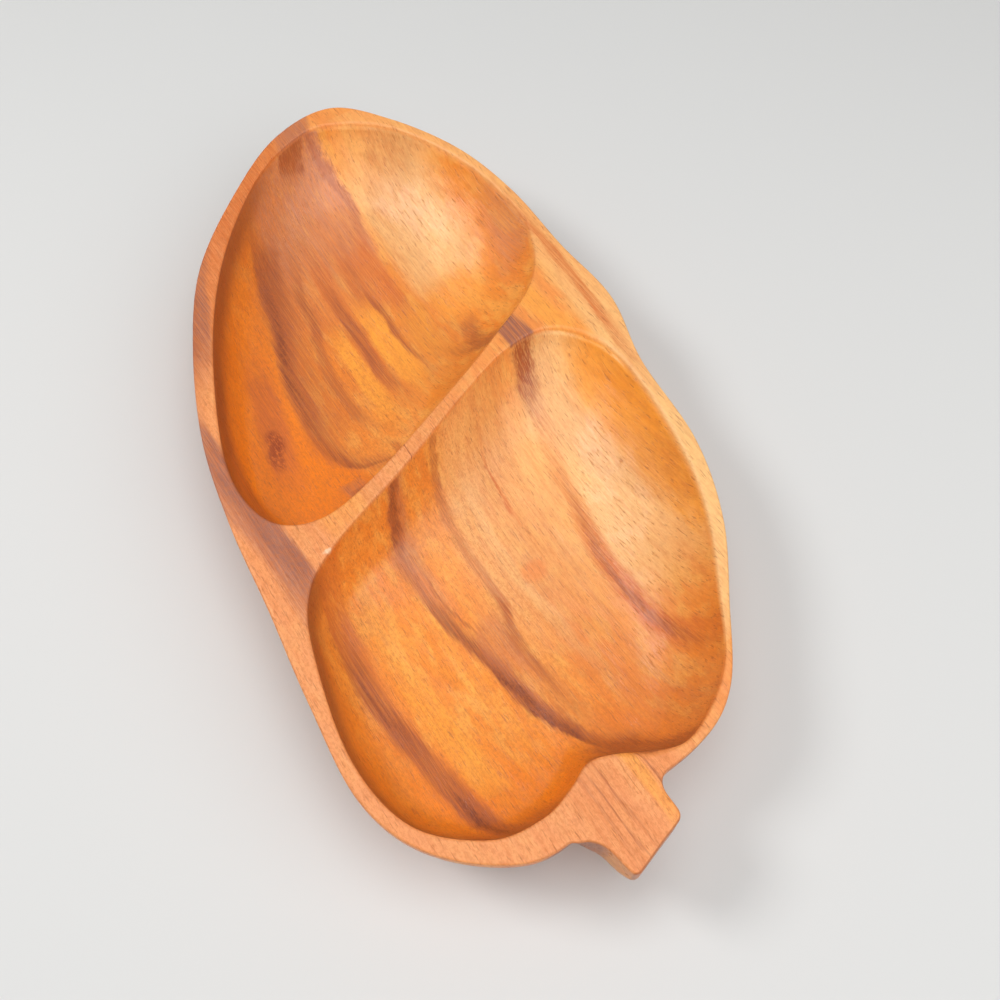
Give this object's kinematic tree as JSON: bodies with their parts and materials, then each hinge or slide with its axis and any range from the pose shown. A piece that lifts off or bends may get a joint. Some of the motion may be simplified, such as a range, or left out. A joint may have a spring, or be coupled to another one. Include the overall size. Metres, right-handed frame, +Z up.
{
  "type": "divided serving bowl",
  "caption": "Shallow wooden serving bowl carved in the outline of a fruit with a short stem, its inside divided by a slanting ridge.",
  "frame": {"origin": "centre of the bowl's box, at the level of the flat base that it rests on", "axes": "+X across the bowl, +Y from the stem to the tip, +Z up out of the open hollows"},
  "size_m": [0.15, 0.304, 0.036],
  "materials": {
    "oiled_wood": "satin oil finish, orange-brown heartwood with darker streaks"
  },
  "bodies": {
    "root": {"carved_bowl": "oiled_wood"}
  },
  "joints": []
}
